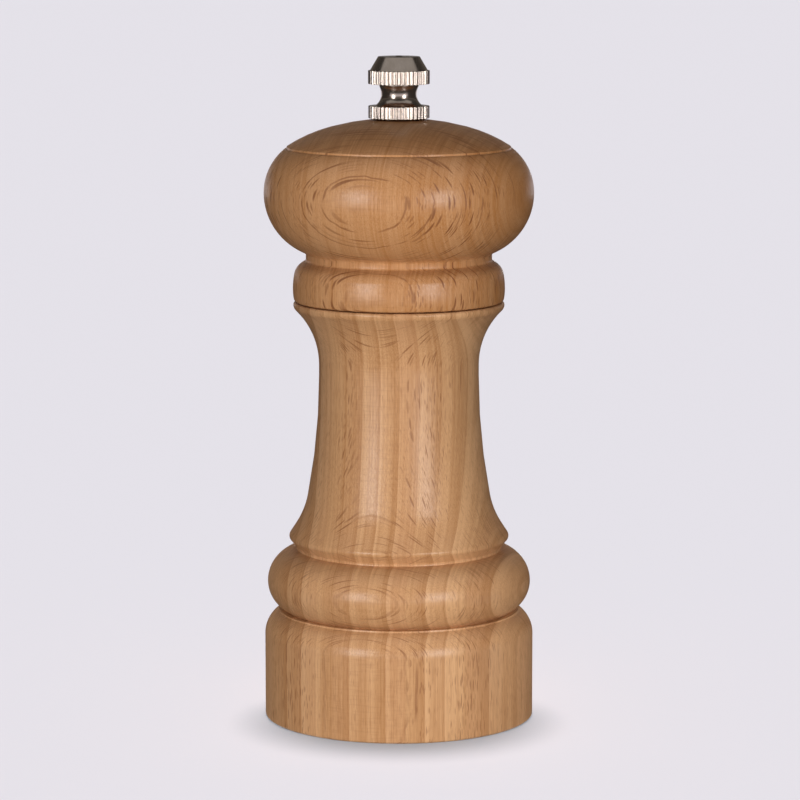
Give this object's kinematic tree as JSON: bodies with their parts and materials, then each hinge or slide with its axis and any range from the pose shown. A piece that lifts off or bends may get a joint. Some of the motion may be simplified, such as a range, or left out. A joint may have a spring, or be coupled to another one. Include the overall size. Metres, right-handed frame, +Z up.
{
  "type": "pepper mill",
  "caption": "Turned beech pepper mill with a waisted body, domed head that turns a steel burr grinder, and a knurled metal knob that sets the grind and holds the head on.",
  "frame": {"origin": "centre of the foot, on the surface that the mill stands on", "axes": "+Z up along the shaft; -Y faces the viewer of the reference view"},
  "size_m": [0.06, 0.06, 0.1476],
  "materials": {
    "beech": "turned beech with satin clear lacquer",
    "plated_metal": "polished nickel plate, knurled rings",
    "burr_steel": "hardened steel, dull grey",
    "zinc_steel": "bright zinc plate",
    "spring_steel": "drawn spring wire",
    "shaft_aluminium": "drawn bar, satin",
    "nylon": "natural nylon"
  },
  "bodies": {
    "root": {"mill_body": "beech", "stator": "burr_steel", "retaining_ring": "zinc_steel", "retaining_screws": "zinc_steel", "bridge": "zinc_steel"},
    "bush": {"shaft_bush": "nylon", "spring": "spring_steel"},
    "drive": {"shaft": "shaft_aluminium", "shaft_clip": "spring_steel", "rotor": "burr_steel", "rotor_washer": "zinc_steel", "rotor_nut": "zinc_steel"},
    "head": {"head": "beech", "drive_plate": "zinc_steel", "drive_plate_screws": "zinc_steel"},
    "knob": {"knob": "plated_metal"}
  },
  "joints": [
    {"name": "grind_turn", "type": "hinge", "parent": "root", "child": "bush", "pos_m": [0, 0, 0.0226], "axis": [0, 0, 1], "continuous": true},
    {"name": "head_lift", "type": "slide", "parent": "bush", "child": "head", "axis": [0, 0, 1], "range_m": [0, 0.07]},
    {"name": "knob_turn", "type": "hinge", "parent": "head", "child": "knob", "pos_m": [0, 0, 0.13355], "axis": [0, 0, 1], "range_deg": [0, 720]},
    {"name": "grind_adjust", "type": "slide", "parent": "bush", "child": "drive", "axis": [0, 0, 1], "range_m": [-0.00161, 0], "deforming": ["spring"]}
  ],
  "couplings": [
    {"joint": "grind_adjust", "follows": "knob_turn", "m_per_rad": -0.00012732}
  ]
}
